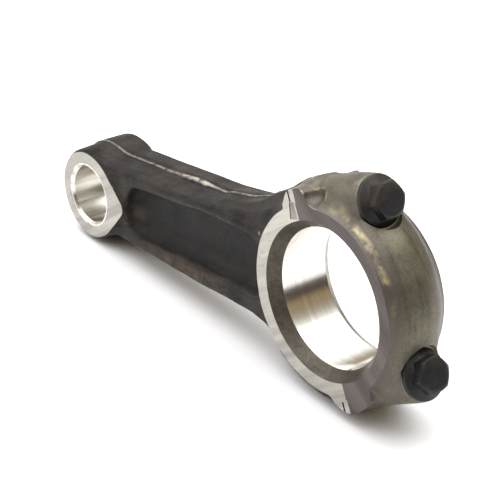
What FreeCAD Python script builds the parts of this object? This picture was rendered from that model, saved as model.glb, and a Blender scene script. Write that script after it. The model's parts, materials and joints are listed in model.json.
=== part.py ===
import FreeCAD, Part
import math
import os
from FreeCAD import Vector

# Connecting rod with an oblique, stepped cap joint.  Millimetres.
# Origin: centre of the big-end bore, half way through the rod's width.
# X runs from the small end to the cap, Y along both bores, Z up across the rod.

# --- bores and centre distance ---
CENTRES = 174.0           # big-end bore centre to small-end bore centre
BIG_BORE_R = 31.0
HALF_WIDTH = 16.5         # big-end side faces
FRONT_CHAMFER = (4.0, 5.5)    # radial and axial size, -Y side
REAR_CHAMFER = (1.6, 2.9)     # radial and axial size, +Y side
PIN_R = 14.0              # gudgeon pin bore, inside the bush
BUSH_R = 16.0
BUSH_HALF = 14.6
BUSH_CHAMFER = 1.2

# --- big end ---
SIDE_FACE_R = 41.5        # ground side face
STRAP_EDGE_R = 42.9       # forged rim where the side face ends
STRAP_MID_R = 44.3        # forged rim at the die line
STRAP_EDGE_Y = 14.9

# --- joint ---
SPLIT_DEG = 20.26         # the bolts lean up from the rod's centre line by this
TONGUE_HALF = 43.2        # half width of the raised middle of the rod's joint face
STEP = 3.2                # the cap's outer lips reach this far past the middle
LIP_GAP = 0.02            # sliding clearance at the two locating steps
EAR_HALF = 48.3           # outer edge of the joint ears

# --- bolts ---
BOLT_V = 36.3             # bolt centre to big-end centre
BOLT_R = 4.45             # M9 thread
WAIST_R = 4.3
THREAD_LENGTH = 22.0
TAPPED_R = 4.5
CAP_HOLE_R = 4.7
SEAT_U = 32.2             # bolt seat to the big-end centre, along the bolt
HOLE_END_U = -24.0
BOLT_END_U = -20.5
BOSS_R = 12.5
BOSS_FOOT_U = -15.0       # the thread bosses start to taper into the rod here
FLANGE_R = 11.0
HEX_AF = 14.6
HEAD_HEIGHT = 8.1
FLANGE_EDGE = 1.5
UPPER_HEX_TURN = 2.0      # degrees the hexagon is turned about its axis
LOWER_HEX_TURN = 8.0

# --- shank ---
SHANK_HALF_Y = 14.0
SHANK_Z = ((-166.0, 18.9), (-36.0, 22.4))     # x and half height at the flange edge
SHANK_CROWN = 1.3         # extra height at the die line
SHANK_EDGE = 1.8
WEB_HALF = 5.5
POCKET_LEFT = (-143.6, 12.8)
POCKET_RIGHT = (-34.0, 14.4)
POCKET_CORNER = 11.0
POCKET_DRAFT = 1.2

# --- small end ---
EYE_FACE_R = 21.7
EYE_HALF = 14.75
EYE_EDGE_R = 23.0
EYE_EDGE_Y = 13.3
EYE_MID_R = 24.5
TIP_X = -149.8            # centre of the rounded tip of the ground face
TIP_R = 4.3

ANGLE = math.radians(SPLIT_DEG)
BOLT_DIR = Vector(math.cos(ANGLE), 0, math.sin(ANGLE))
ACROSS = Vector(-math.sin(ANGLE), 0, math.cos(ANGLE))
Y_DIR = Vector(0, 1, 0)


def uv(u, v, y=0.0):
    """Point at u along the bolts, v across the joint and y along the bores."""
    return BOLT_DIR * u + ACROSS * v + Y_DIR * y


def prism(points, half_y):
    """Straight-sided slab, symmetric about the die line."""
    ring = [Vector(p.x, -half_y, p.z) for p in points]
    face = Part.Face(Part.makePolygon(ring + [ring[0]]))
    return face.extrude(Vector(0, 2 * half_y, 0))


def drafted_prism(points, shrink, half_y):
    """Slab whose outline shrinks towards both sides, as a forging does from its die line."""
    middle = sum((p.x for p in points)) / len(points), sum((p.z for p in points)) / len(points)
    wires = []
    for y in (-half_y, 0.0, half_y):
        ring = []
        for p in points:
            away = Vector(p.x - middle[0], 0, p.z - middle[1])
            away.normalize()
            inset = shrink if y else 0.0
            ring.append(Vector(p.x - away.x * inset, y, p.z - away.z * inset))
        wires.append(Part.makePolygon(ring + [ring[0]]))
    return Part.makeLoft(wires, True, True)


def drafted_disc(centre_x, profile):
    """Solid of revolution about a bore axis.  profile: (radius, y) from -Y to the die line."""
    half = [(0.0, profile[0][1])] + list(profile)
    mirrored = [(r, -y) for r, y in reversed(half) if y != 0.0]
    ring = [Vector(centre_x + r, y, 0) for r, y in half + mirrored]
    face = Part.Face(Part.makePolygon(ring + [ring[0]]))
    return face.revolve(Vector(centre_x, 0, 0), Y_DIR, 360)


def shank():
    """Outer envelope of the I-section shank: tapered, drafted and with softened edges."""
    wires = []
    for x, z in SHANK_Z:
        corner = [(-SHANK_HALF_Y, z - SHANK_EDGE), (-SHANK_HALF_Y + SHANK_EDGE, z),
                  (0.0, z + SHANK_CROWN),
                  (SHANK_HALF_Y - SHANK_EDGE, z), (SHANK_HALF_Y, z - SHANK_EDGE)]
        ring = [Vector(x, y, h) for y, h in corner]
        ring += [Vector(x, y, -h) for y, h in reversed(corner)]
        wires.append(Part.makePolygon(ring + [ring[0]]))
    return Part.makeLoft(wires, True, True)


def rounded_outline(y, corner):
    """Pocket outline at depth y: four corner centres offset outwards by the corner radius."""
    core = []
    for (x, z), sign in ((POCKET_LEFT, 1), (POCKET_RIGHT, -1)):
        core.append(Vector(x + sign * POCKET_CORNER, y, z - POCKET_CORNER))
        core.append(Vector(x + sign * POCKET_CORNER, y, POCKET_CORNER - z))
    ring = [core[0], core[2], core[3], core[1], core[0]]
    return Part.makePolygon(ring).makeOffset2D(corner)


def pocket(side):
    """Cutter for the recess beside the web; side is -1 or +1."""
    outer = rounded_outline(side * (SHANK_HALF_Y + 4.0), POCKET_CORNER + 0.5)
    inner = rounded_outline(side * WEB_HALF, POCKET_CORNER - POCKET_DRAFT)
    cutter = Part.makeLoft([outer, inner], True, True)
    floor_edges = [e for e in cutter.Edges
                   if max(abs(v.Point.y - side * WEB_HALF) for v in e.Vertexes) < 0.01]
    return cutter.makeFillet(4.0, floor_edges)


def ground_tip():
    """Teardrop part of the small end that reaches towards the shank."""
    turn = math.acos((EYE_FACE_R - TIP_R) / (TIP_X + CENTRES))
    top = [Vector(-CENTRES + EYE_FACE_R * math.cos(turn), 0, EYE_FACE_R * math.sin(turn)),
           Vector(TIP_X + TIP_R * math.cos(turn), 0, TIP_R * math.sin(turn))]
    bottom = [Vector(p.x, 0, -p.z) for p in reversed(top)]
    y = Vector(0, -EYE_HALF, 0)
    arc = Part.Arc(top[1] + y, Vector(TIP_X + TIP_R, -EYE_HALF, 0), bottom[0] + y).toShape()
    edges = [Part.makeLine(top[0] + y, top[1] + y), arc,
             Part.makeLine(bottom[0] + y, bottom[1] + y), Part.makeLine(bottom[1] + y, top[0] + y)]
    return Part.Face(Part.Wire(edges)).extrude(Vector(0, 2 * EYE_HALF, 0))


def cylinder_along_bolt(radius, u0, u1, v):
    return Part.makeCylinder(radius, u1 - u0, uv(u0, v), BOLT_DIR)


def forged_blank():
    """The whole forging, rod and cap in one, before it is machined and split."""
    body = drafted_disc(0.0, [(SIDE_FACE_R, -HALF_WIDTH), (STRAP_EDGE_R, -STRAP_EDGE_Y),
                              (STRAP_MID_R, 0.0)])
    eye = drafted_disc(-CENTRES, [(EYE_FACE_R, -EYE_HALF), (EYE_EDGE_R, -EYE_EDGE_Y),
                                  (EYE_MID_R, 0.0)])
    shoulder = [Vector(-80, 0, 20.0), uv(-37, 45.6), uv(-12, 47.4), uv(2, 48.0),
                uv(2, 20), Vector(-80, 0, 5)]
    heel = [uv(2, -20), uv(2, -48.0), uv(-11, -47.6), uv(-19, -44.5), uv(-25, -38.5),
            Vector(-36, 0, -28.0), Vector(-66, 0, -20.0), Vector(-66, 0, -5)]
    pieces = [eye, ground_tip(), shank(), drafted_prism(shoulder, 1.2, 13.8),
              drafted_prism(heel, 1.2, 12.6)]
    for sign in (1, -1):
        ear = [uv(-8.5, sign * 30), uv(-8.5, sign * 42.6), uv(-4.6, sign * 47.0),
               uv(-1.0, sign * EAR_HALF), uv(4.5, sign * EAR_HALF), uv(9.0, sign * 46.8),
               uv(15.0, sign * 43.2), uv(15.0, sign * 30)]
        pieces.append(prism(ear, HALF_WIDTH))
        pieces.append(cylinder_along_bolt(BOSS_R, BOSS_FOOT_U, SEAT_U, sign * BOLT_V))
        pieces.append(Part.makeCone(BOSS_R - 6.0, BOSS_R, 7.0, uv(BOSS_FOOT_U - 7.0, sign * BOLT_V),
                                    BOLT_DIR))
        web = [uv(0, sign * 30), uv(0, sign * 46), uv(22, sign * 46), uv(30.5, sign * 43),
               uv(30.5, sign * 28), uv(34, sign * 22), uv(20, sign * 20)]
        pieces.append(drafted_prism(web, 1.5, 11.0))
    return body.multiFuse(pieces)


def machined(blank):
    """Blank with the pockets, bores, chamfers, seats and bolt holes cut."""
    cuts = []
    hub_keep = Part.makeCylinder(STRAP_EDGE_R - 0.6, 60, Vector(0, -30, 0), Y_DIR)
    for side in (-1, 1):
        cuts.append(pocket(side).cut(hub_keep))
    bore = Part.makeCylinder(BIG_BORE_R, 60, Vector(0, -30, 0), Y_DIR)
    cuts.append(bore)
    for side, (radial, axial) in ((-1, FRONT_CHAMFER), (1, REAR_CHAMFER)):
        slope = radial / axial
        outer = BIG_BORE_R + radial + slope
        cuts.append(Part.makeCone(outer, BIG_BORE_R, axial + 1.0,
                                  Vector(0, side * (HALF_WIDTH + 1.0), 0), Vector(0, -side, 0)))
    cuts.append(Part.makeCylinder(BUSH_R, 60, Vector(-CENTRES, -30, 0), Y_DIR))
    for sign in (1, -1):
        v = sign * BOLT_V
        cuts.append(cylinder_along_bolt(BOSS_R + 0.6, SEAT_U, SEAT_U + 20, v))
        cuts.append(cylinder_along_bolt(TAPPED_R, HOLE_END_U, 1, v))
        cuts.append(Part.makeCone(0.1, TAPPED_R, 2.6, uv(HOLE_END_U - 2.6, v), BOLT_DIR))
    mark = [uv(-5.3, 36.2), uv(-5.3, 42.6), uv(-1.0, 42.6), uv(-1.0, 36.2)]
    recess = prism(mark, 0.5)
    recess.translate(Vector(0, -HALF_WIDTH - 0.5 + 0.6, 0))
    cuts.append(recess)
    return blank.cut(cuts)


def joint_side(cap_side, gap):
    """Region of space on the cap's side of the stepped joint, or on the rod's side."""
    far = 300.0
    tongue = TONGUE_HALF + gap
    if cap_side:
        ring = [uv(far, -far), uv(-STEP, -far), uv(-STEP, -tongue), uv(0, -tongue),
                uv(0, tongue), uv(-STEP, tongue), uv(-STEP, far), uv(far, far)]
    else:
        ring = [uv(-far, -far), uv(-STEP, -far), uv(-STEP, -tongue), uv(0, -tongue),
                uv(0, tongue), uv(-STEP, tongue), uv(-STEP, far), uv(-far, far)]
    return prism(ring, 60.0)


def cap_bolt(v, hex_turn):
    """Flanged hexagon bolt with a waisted shank and an M9 thread at its end."""
    shank_solid = cylinder_along_bolt(WAIST_R, BOLT_END_U + THREAD_LENGTH, SEAT_U + 1.0, v)
    thread = cylinder_along_bolt(BOLT_R, BOLT_END_U + 1.0, BOLT_END_U + THREAD_LENGTH, v)
    point = Part.makeCone(BOLT_R - 1.0, BOLT_R, 1.0, uv(BOLT_END_U, v), BOLT_DIR)
    flange = cylinder_along_bolt(FLANGE_R, SEAT_U, SEAT_U + FLANGE_EDGE, v)
    dome = Part.makeCone(FLANGE_R, HEX_AF / 2, 1.6, uv(SEAT_U + FLANGE_EDGE, v), BOLT_DIR)
    corner_r = HEX_AF / math.sqrt(3)
    ring = []
    for i in range(6):
        a = math.radians(hex_turn + 60 * i)
        ring.append(uv(SEAT_U, v) + Y_DIR * (corner_r * math.cos(a)) + ACROSS * (corner_r * math.sin(a)))
    hexagon = Part.Face(Part.makePolygon(ring + [ring[0]])).extrude(BOLT_DIR * HEAD_HEIGHT)
    crown = Part.makeCone(corner_r + 4.6, HEX_AF / 2 - 0.2, HEAD_HEIGHT, uv(SEAT_U, v), BOLT_DIR)
    return shank_solid.multiFuse([thread, point, flange, dome, hexagon.common(crown)]).removeSplitter()


def bush():
    """Plain pin bush, chamfered inside at both ends."""
    ring = [Vector(PIN_R + BUSH_CHAMFER, -BUSH_HALF, 0), Vector(BUSH_R, -BUSH_HALF, 0),
            Vector(BUSH_R, BUSH_HALF, 0), Vector(PIN_R + BUSH_CHAMFER, BUSH_HALF, 0),
            Vector(PIN_R, BUSH_HALF - BUSH_CHAMFER, 0), Vector(PIN_R, BUSH_CHAMFER - BUSH_HALF, 0)]
    solid = Part.Face(Part.makePolygon(ring + [ring[0]])).revolve(Vector(0, 0, 0), Y_DIR, 360)
    solid.translate(Vector(-CENTRES, 0, 0))
    return solid


whole = machined(forged_blank())
cap = whole.common(joint_side(True, LIP_GAP))
cap = cap.cut([cylinder_along_bolt(CAP_HOLE_R, -6, SEAT_U + 1, s * BOLT_V) for s in (1, -1)])

nodes = {
    "rod_forging": whole.common(joint_side(False, 0.0)).removeSplitter(),
    "bearing_cap": cap.removeSplitter(),
    "upper_cap_bolt": cap_bolt(BOLT_V, UPPER_HEX_TURN),
    "lower_cap_bolt": cap_bolt(-BOLT_V, LOWER_HEX_TURN),
    "small_end_bush": bush(),
}

os.makedirs("parts", exist_ok=True)
for name, shape in nodes.items():
    solids = shape.Solids
    print(name, "solids", len(solids), "valid", shape.isValid(), "volume", round(shape.Volume, 1),
          "box", shape.BoundBox)
    solids[0].exportStep("parts/" + name + ".step")
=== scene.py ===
import json
import math

import bmesh
import bpy
import numpy as np
from mathutils import Matrix, Vector


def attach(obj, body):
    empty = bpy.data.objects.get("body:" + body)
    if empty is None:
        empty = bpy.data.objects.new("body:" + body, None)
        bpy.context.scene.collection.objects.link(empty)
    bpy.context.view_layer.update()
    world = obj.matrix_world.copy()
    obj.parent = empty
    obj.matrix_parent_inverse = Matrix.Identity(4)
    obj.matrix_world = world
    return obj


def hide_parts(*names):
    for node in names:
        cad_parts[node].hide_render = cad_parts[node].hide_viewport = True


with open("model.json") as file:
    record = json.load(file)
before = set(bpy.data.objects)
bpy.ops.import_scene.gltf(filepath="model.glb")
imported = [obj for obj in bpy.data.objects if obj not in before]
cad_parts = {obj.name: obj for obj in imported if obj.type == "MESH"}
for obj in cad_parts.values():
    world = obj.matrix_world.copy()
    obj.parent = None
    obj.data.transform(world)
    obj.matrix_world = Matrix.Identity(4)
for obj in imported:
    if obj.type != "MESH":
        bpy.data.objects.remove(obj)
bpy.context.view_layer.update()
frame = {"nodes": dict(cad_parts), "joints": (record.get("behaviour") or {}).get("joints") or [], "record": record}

# ---------------------------------------------------------------------------
# The rod.  Rod and cap are drop forged as one steel blank between two dies that meet on its
# middle plane, so every wall leans away from that plane and a trimmed line of flash runs round
# it.  It is then ground, bored and drilled.  Lengths are millimetres until a mesh is made.
MM = 0.001
mounts = {m["name"]: m for m in frame["record"]["mounts"]}
bolt_axis = np.array(frame["joints"][0]["axis"], float)
across_axis = np.array([-bolt_axis[2], 0.0, bolt_axis[0]])
EYE_X = mounts["small_end_bore"]["pos_m"][0] / MM
HALF_WIDTH = mounts["big_end_rear_face"]["pos_m"][1] / MM
EYE_HALF = mounts["small_end_rear_face"]["pos_m"][1] / MM
BORE_R = mounts["big_end_bore"]["dims"]["r_mm"]

# the big end's rim: straight with a little draft on the rod, rolled over on the cap
STRAP_R = 44.3
STRAP_DRAFT = 0.094
STRAP_EDGE = (42.9, 14.9)     # radius and half width where the rim turns in to the side face
STRAP_EDGE_SLOPE = 0.9
ROLLED_FALL = 0.0115          # times the square of the distance from the die line
ROLLED_EDGE = (43.0, 13.0)
ROLLED_EDGE_SLOPE = 0.55
FAR_RIM_DROP = 2.3
HUB_LOW_HALF = 13.0
LOW_HALF = 14.1               # everything between the ends stays this far inside the ground faces
SIDE_STOCK = 1.3              # left on each side of the big end for grinding

# the shank: x and height of its upper and lower edges, from the small end to the big end
SHANK_TOP = ((-175, 19.4), (-140, 19.6), (-102, 20.2), (-83, 20.5), (-66, 22.0), (-50, 23.5), (-30, 27))
SHANK_FOOT = ((-175, -16.2), (-146, -17.2), (-125, -18.5), (-106, -20.2), (-87, -21.5), (-66, -22.0),
              (-50, -23.3), (-36, -27))
SHANK_END_X = -26.0
SHANK_HALF_Y = 14.0
SHANK_CROWN = 1.3
DIE_SHIFT = 1.4               # the far die half sits this much higher than the near one

# the shank's pockets and the small round rise in their floor
POCKET = ((-143.6, 12.6), (-122, 14.2), (-102, 14.8), (-83, 16.0), (-66, 15.6), (-43.5, 14.6),
          (-39.5, -14.4), (-66, -13.1), (-105, -12.2), (-125, -12.6), (-143.6, -13.1))
POCKET_CORNER = 9.5
POCKET_DRAFT = math.tan(math.radians(7))
POCKET_FOOT_DRAFT = 0.26      # the lower wall leans this much more
POCKET_HUB_R = 42.0
WEB_HALF = 5.5
RISE_SPOT = (-139.5, -2.5)
RISE_HEIGHT = 2.2
RISE_R = 6.0

# the small end: a teardrop, ground on both sides
EYE_FACE_R = 21.7
TIP_REACH = 24.2              # eye centre to the centre of the tip of its ground face
TIP_R = 4.3

# outlines of the joint's ears, of the webs behind them and of the rod's shoulders, all but the
# shoulder as (u, v) with v away from the bore
UPPER_EAR = ((-8.0, 30), (-8.4, 42.6), (-4.6, 46.8), (-2.5, 48.4), (4.8, 48.4), (8.6, 43.9), (9.6, 40.0),
             (12, 30))
LOWER_EAR = ((-10.5, 30), (-9.8, 41.0), (-7.8, 44.1), (-5.0, 46.2), (-2.5, 47.9), (1.5, 48.3), (7.1, 47.2),
             (16.1, 43.6), (17, 30))
UPPER_WEB = ((-4, 26), (-4, 46.0), (12, 47.2), (22, 47.0), (29.5, 45.2), (31, 26))
LOWER_WEB = ((-4, 26), (-4, 47.2), (5, 47.4), (14, 45.4), (22, 45.2), (29.5, 45.0), (31, 26))
HEEL = ((-25, 20), (0, 20), (0, 46.5), (-14, 46.0), (-34, 36), (-50, 20))
SHOULDER = ((-76, 21.6), (-60, 25.2), (-50.5, 28.9), (-41.5, 34.0), (-33.4, 38.2), (-24.4, 42.8),
            (-15, 47.0), (-5, 30), (-76, 5))
EAR_SET_BACK = 1.9            # the far side of an ear is this much smaller
LEDGE = 1.3                   # but for a ledge on the upper one

# the bosses round the bolts
BOLT_V = 36.3
BOSS_R = 12.5
BOSS_DRAFT = 0.062
BOSS_NARROWS_U = 12.0
BOSS_FADES_U = -7.0
BOSS_FADE_SLOPE = 0.5
BOSS_END_U = -16.0
SEAT_U = 32.2
SEAT_STOCK = 0.4
DIE_MARK = (11.4, 44.9, -15.0)    # u, v and y of a round dent beside the upper boss
DIE_MARK_R = 4.9

# the trimmed flash, widest half way along the shank's upper edge
FLASH_WIDE_X = -103.0
FLASH_WIDE_LENGTH = 13.0
FLASH_END_X = -46.0


def bolt_point(u, v, y=0.0):
    """Point at u along the bolts, v across the joint and y along the bores."""
    return bolt_axis * u + across_axis * v + np.array([0.0, y, 0.0])


def smooth_min(a, b, k):
    """The smaller of the two, filleted over a width k where they meet."""
    h = np.maximum(k - np.abs(a - b), 0.0) / k
    return np.minimum(a, b) - h * h * k * 0.25


def smooth_max(a, b, k):
    return -smooth_min(-a, -b, k)


def outline_distance(points, x, z):
    """Signed distance to a closed outline, negative inside."""
    best = np.full(np.broadcast(x, z).shape, 1e9)
    sign = np.ones(best.shape)
    for (ax, az), (bx, bz) in zip(points, list(points[1:]) + [points[0]], strict=True):
        ex, ez = bx - ax, bz - az
        wx, wz = x - ax, z - az
        t = np.clip((wx * ex + wz * ez) / (ex * ex + ez * ez), 0, 1)
        best = np.minimum(best, (wx - ex * t) ** 2 + (wz - ez * t) ** 2)
        above, below, left = z >= az, z < bz, ex * wz > ez * wx
        sign = np.where((above & below & left) | (~above & ~below & ~left), -sign, sign)
    return sign * np.sqrt(best)


def turns_left(ring):
    """Whether a closed ring of points runs anticlockwise."""
    before = ring[-1:] + ring[:-1]
    return sum(a[0] * b[1] - b[0] * a[1] for a, b in zip(before, ring, strict=True)) > 0


def offset_outline(points, by):
    """The outline moved inwards by a distance, so that rounding it brings it back out."""
    ring = [np.array(p, float) for p in points]
    side = 1.0 if turns_left(ring) else -1.0
    moved = []
    for i, p in enumerate(ring):
        before = p - ring[i - 1]
        after = ring[(i + 1) % len(ring)] - p
        n1 = np.array([-before[1], before[0]]) / np.hypot(*before) * side
        n2 = np.array([-after[1], after[0]]) / np.hypot(*after) * side
        moved.append(p + (n1 + n2) * by / (1 + n1 @ n2))
    return [tuple(p) for p in moved]


def teardrop_distance(x, z):
    """The small end's ground outline: a large circle drawn out to a small one."""
    px, pz = np.abs(z), x - EYE_X
    lean = (EYE_FACE_R - TIP_R) / TIP_REACH
    rise = math.sqrt(1 - lean * lean)
    k = rise * pz - lean * px
    ball = np.hypot(px, pz) - EYE_FACE_R
    tip = np.hypot(px, pz - TIP_REACH) - TIP_R
    side = px * rise + pz * lean - EYE_FACE_R
    return np.where(k < 0, ball, np.where(k > rise * TIP_REACH, tip, side))


WAVES = np.random.default_rng(7)
WAVE_DIRECTIONS = WAVES.normal(size=(10, 3))
WAVE_SHIFTS = WAVES.uniform(0, 2 * math.pi, 10)


def waviness(x, y, z, length):
    """Gentle unevenness of a hand-dressed die, about -1 to 1."""
    total = 0.0
    for (a, b, c), shift in zip(WAVE_DIRECTIONS, WAVE_SHIFTS, strict=True):
        total = total + np.sin((a * x + b * y + c * z) / length + shift)
    return total / 4.5


def fade(value, start, length):
    """0 up to start, 1 beyond start + length, straight between them."""
    return np.clip((value - start) / length, 0, 1)


def hub_distance(u, y, hub_r):
    """The big end, from the rod's straight rim to the cap's rolled one."""
    out = np.abs(y)
    edge = STRAP_EDGE[0] - STRAP_EDGE_SLOPE * (out - STRAP_EDGE[1])
    straight = smooth_min(STRAP_R - STRAP_DRAFT * out, edge, 1.0)
    edge = ROLLED_EDGE[0] - ROLLED_EDGE_SLOPE * (out - ROLLED_EDGE[1])
    rolled = smooth_min(STRAP_R - ROLLED_FALL * out ** 2, edge, 1.6)
    rolled = rolled - FAR_RIM_DROP * fade(y, 0, 13) ** 2
    cap_part = fade(u, -1, 8)
    return hub_r - (straight * (1 - cap_part) + rolled * cap_part)


def shank_distance(x, y, z):
    """The shank as a solid bar with crowned edges."""
    out = np.abs(y)
    far_die = fade(y, 0, 3)
    crown = SHANK_CROWN * (1 - out / SHANK_HALF_Y)
    top = np.interp(x, *zip(*SHANK_TOP, strict=True)) + crown + DIE_SHIFT * far_die
    foot = np.interp(x, *zip(*SHANK_FOOT, strict=True)) - crown
    bar = smooth_max(smooth_max(z - top, foot - z, 1.0), out - SHANK_HALF_Y, 4.0 - 1.5 * far_die)
    return np.maximum(bar, np.maximum(x - SHANK_END_X, EYE_X - x))


def ear_distance(outline, u, v, y, ledge):
    """An ear of the joint; its far side is smaller, but for a ledge."""
    ear = outline_distance(outline, u, v)
    kept = ledge * fade(u, -3, 5) * fade(-u, -8.6, 0.8)
    ear = ear + (EAR_SET_BACK - kept) * fade(y, 0, 12)
    return np.maximum(ear, np.abs(y) - HALF_WIDTH - 2)


def boss_distance(web_outline, u, v, y):
    """A bolt boss, which narrows to its seat and into the rod, and the web that ties it to the rim."""
    out = np.abs(y)
    boss_r = np.hypot(y, v - BOLT_V) + BOSS_DRAFT * np.maximum(u - BOSS_NARROWS_U, 0)
    boss_r = boss_r + BOSS_FADE_SLOPE * np.maximum(BOSS_FADES_U - u, 0)
    boss = smooth_max(boss_r - BOSS_R, BOSS_END_U - u, 9.0)
    boss = smooth_max(boss, u - SEAT_U - SEAT_STOCK, 1.6)
    web = smooth_max(outline_distance(web_outline, u, v) + 0.1 * out, out - 11.5, 7.0)
    return smooth_min(boss, web, 5.0)


def eye_distance(x, y, z):
    """The small end, whose far rim is turned in later than its near one."""
    out = np.abs(y)
    far_die = fade(y, 0, 3)
    wall = 1.8 + 0.6 * far_die - 0.06 * (1 - far_die) * out
    edge = 0.9 + 3.0 * far_die - 0.9 * (out - 13.6)
    return teardrop_distance(x, z) - smooth_min(wall, edge, 1.0)


def flash_distance(x, y, z, skin):
    """What the trimming left of the flash: a ragged low ridge along the die line."""
    ragged = waviness(x, 0.0, z, 9.0) + 0.6 * waviness(z, 0.0, x, 2.6)
    wide = np.exp(-(((x - FLASH_WIDE_X) / FLASH_WIDE_LENGTH) ** 2)) * (z > 0)
    height = np.clip(0.45 + 0.25 * ragged + 0.7 * wide, 0.12, 1.6)
    height = height * fade(-x, -FLASH_END_X, 12)
    width = 0.7 + 0.25 * ragged + 0.9 * wide
    ridge = smooth_max(skin - height, np.abs(y + 0.3 * ragged) - width, 0.8)
    return ridge + 3 * fade(x, FLASH_END_X + 2, 8)


def pocket_distance(x, y, z, hub_r):
    """The pockets that leave the shank an I-section."""
    out = np.abs(y)
    wall = outline_distance(offset_outline(POCKET, POCKET_CORNER), x, z) - POCKET_CORNER
    wall = smooth_max(wall, POCKET_HUB_R - hub_r, 4.0)
    off_rise = (x - RISE_SPOT[0]) ** 2 + (z - RISE_SPOT[1]) ** 2
    rise = RISE_HEIGHT * np.exp(-off_rise / RISE_R ** 2)
    draft = POCKET_DRAFT + POCKET_FOOT_DRAFT * fade(-z, 4, 7)
    return smooth_max(wall + (SHANK_HALF_Y - out) * draft, WEB_HALF + rise - out, 6.0)


def forging(x, y, z):
    """Signed distance to the blank's skin at points given in millimetres."""
    u = bolt_axis[0] * x + bolt_axis[2] * z
    v = across_axis[0] * x + across_axis[2] * z
    out = np.abs(y)
    hub_r = np.hypot(x, z)
    hub = hub_distance(u, y, hub_r)
    lean = 0.08 * out + 0.85 * np.maximum(out - 6.5, 0)
    shoulder = smooth_max(outline_distance(SHOULDER, x, z) + lean, out - 13.9, 3.0)
    heel = smooth_max(outline_distance(HEEL, u, -v) + 0.1 * out, out - 12.6, 6.0)
    low = smooth_min(smooth_max(hub, out - HUB_LOW_HALF, 3.0), shank_distance(x, y, z), 7.0)
    low = smooth_min(smooth_min(low, shoulder, 5.0), heel, 8.0)
    proud = hub
    for ear_outline, web_outline, side_v, ledge in ((UPPER_EAR, UPPER_WEB, v, LEDGE),
                                                    (LOWER_EAR, LOWER_WEB, -v, 0.0)):
        proud = smooth_min(proud, ear_distance(ear_outline, u, side_v, y, ledge), 1.2)
        low = smooth_min(low, boss_distance(web_outline, u, side_v, y), 5.0)
    low = smooth_max(low, out - LOW_HALF, 2.0)
    skin = smooth_min(smooth_min(low, eye_distance(x, y, z), 3.5), proud, 3.0)
    off_mark = np.sqrt((u - DIE_MARK[0]) ** 2 + (v - DIE_MARK[1]) ** 2 + (y - DIE_MARK[2]) ** 2)
    skin = smooth_max(skin, DIE_MARK_R - off_mark, 0.8)
    skin = smooth_min(skin, flash_distance(x, y, z, skin), 1.2)
    skin = smooth_max(skin, -pocket_distance(x, y, z, hub_r), 1.8)
    skin = np.maximum(skin, out - HALF_WIDTH - SIDE_STOCK)
    return skin + 0.11 * waviness(x, y, z, 6.5) + 0.05 * waviness(z, x, y, 2.2)


def skin_mesh(xs, ys, zs):
    """Vertices and quads of the blank's skin on a grid, one vertex in each cell that the skin crosses."""
    field = forging(xs[:, None, None], ys[None, :, None], zs[None, None, :])
    cells = np.array(field.shape) - 1
    rings, points = [], []
    for axis in range(3):
        low, high = [slice(None)] * 3, [slice(None)] * 3
        low[axis], high[axis] = slice(0, -1), slice(1, None)
        a, b = field[tuple(low)], field[tuple(high)]
        edge = np.argwhere((a < 0) != (b < 0))
        start, end = a[tuple(edge.T)], b[tuple(edge.T)]
        near = np.stack([line[edge[:, i]] for i, line in enumerate((xs, ys, zs))], 1)
        step = (xs, ys, zs)[axis][edge[:, axis] + 1] - near[:, axis]
        near[:, axis] += step * start / (start - end)
        ring = []
        for one, two in ((-1, -1), (0, -1), (0, 0), (-1, 0)):
            cell = edge.copy()
            cell[:, (axis + 1) % 3] += one
            cell[:, (axis + 2) % 3] += two
            ring.append(np.ravel_multi_index(cell.T, cells))
        ring = np.stack(ring, 1)
        rings.append(np.where((start < 0)[:, None], ring, ring[:, ::-1]))
        points.append(np.repeat(near, 4, 0).reshape(-1, 4, 3))
    ring, point = np.concatenate(rings), np.concatenate(points)
    used, quads = np.unique(ring, return_inverse=True)
    quads = quads.reshape(ring.shape)
    count = np.bincount(quads.ravel(), minlength=len(used))
    verts = np.stack([np.bincount(quads.ravel(), point[:, :, i].ravel(), len(used)) / count
                      for i in range(3)], 1)
    for _ in range(2):
        reach = 0.05
        value = forging(*verts.T)
        slope = np.stack([(forging(*(verts + reach * np.eye(3)[i]).T) - value) / reach for i in range(3)], 1)
        move = value[:, None] * slope / np.maximum((slope ** 2).sum(1), 0.3)[:, None]
        verts -= np.clip(move, -0.25, 0.25)
    return verts, quads


def mesh_object(name, verts, faces, materials=(), slots=None):
    """A mesh object from millimetre points; slots gives each face its material."""
    mesh = bpy.data.meshes.new(name)
    mesh.from_pydata((np.asarray(verts) * MM).tolist(), [], [list(f) for f in faces])
    for material in materials:
        mesh.materials.append(material)
    if slots is not None:
        mesh.polygons.foreach_set("material_index", slots)
    piece = bpy.data.objects.new(name, mesh)
    bpy.context.scene.collection.objects.link(piece)
    return piece


# Node groups for the effects that several finishes share.
def effect_group(name, inputs, outputs):
    """An empty node group with float inputs (name, value) and named float outputs."""
    group = bpy.data.node_groups.new(name, "ShaderNodeTree")
    for label, value in inputs:
        socket = group.interface.new_socket(label, in_out="INPUT", socket_type="NodeSocketFloat")
        socket.default_value = value
    for label in outputs:
        group.interface.new_socket(label, in_out="OUTPUT", socket_type="NodeSocketFloat")
    return group, group.nodes.new("NodeGroupInput").outputs, group.nodes.new("NodeGroupOutput").inputs


def add_node(tree, kind, links=(), **settings):
    """A node with its settings; links are (input, output socket) pairs."""
    node = tree.nodes.new(kind)
    for key, value in settings.items():
        if key.startswith("in_"):
            label = key[3:]
            node.inputs[int(label) if label.isdigit() else label.replace("_", " ")].default_value = value
        else:
            setattr(node, key, value)
    for key, source in links:
        tree.links.new(source, node.inputs[key])
    return node


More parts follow.
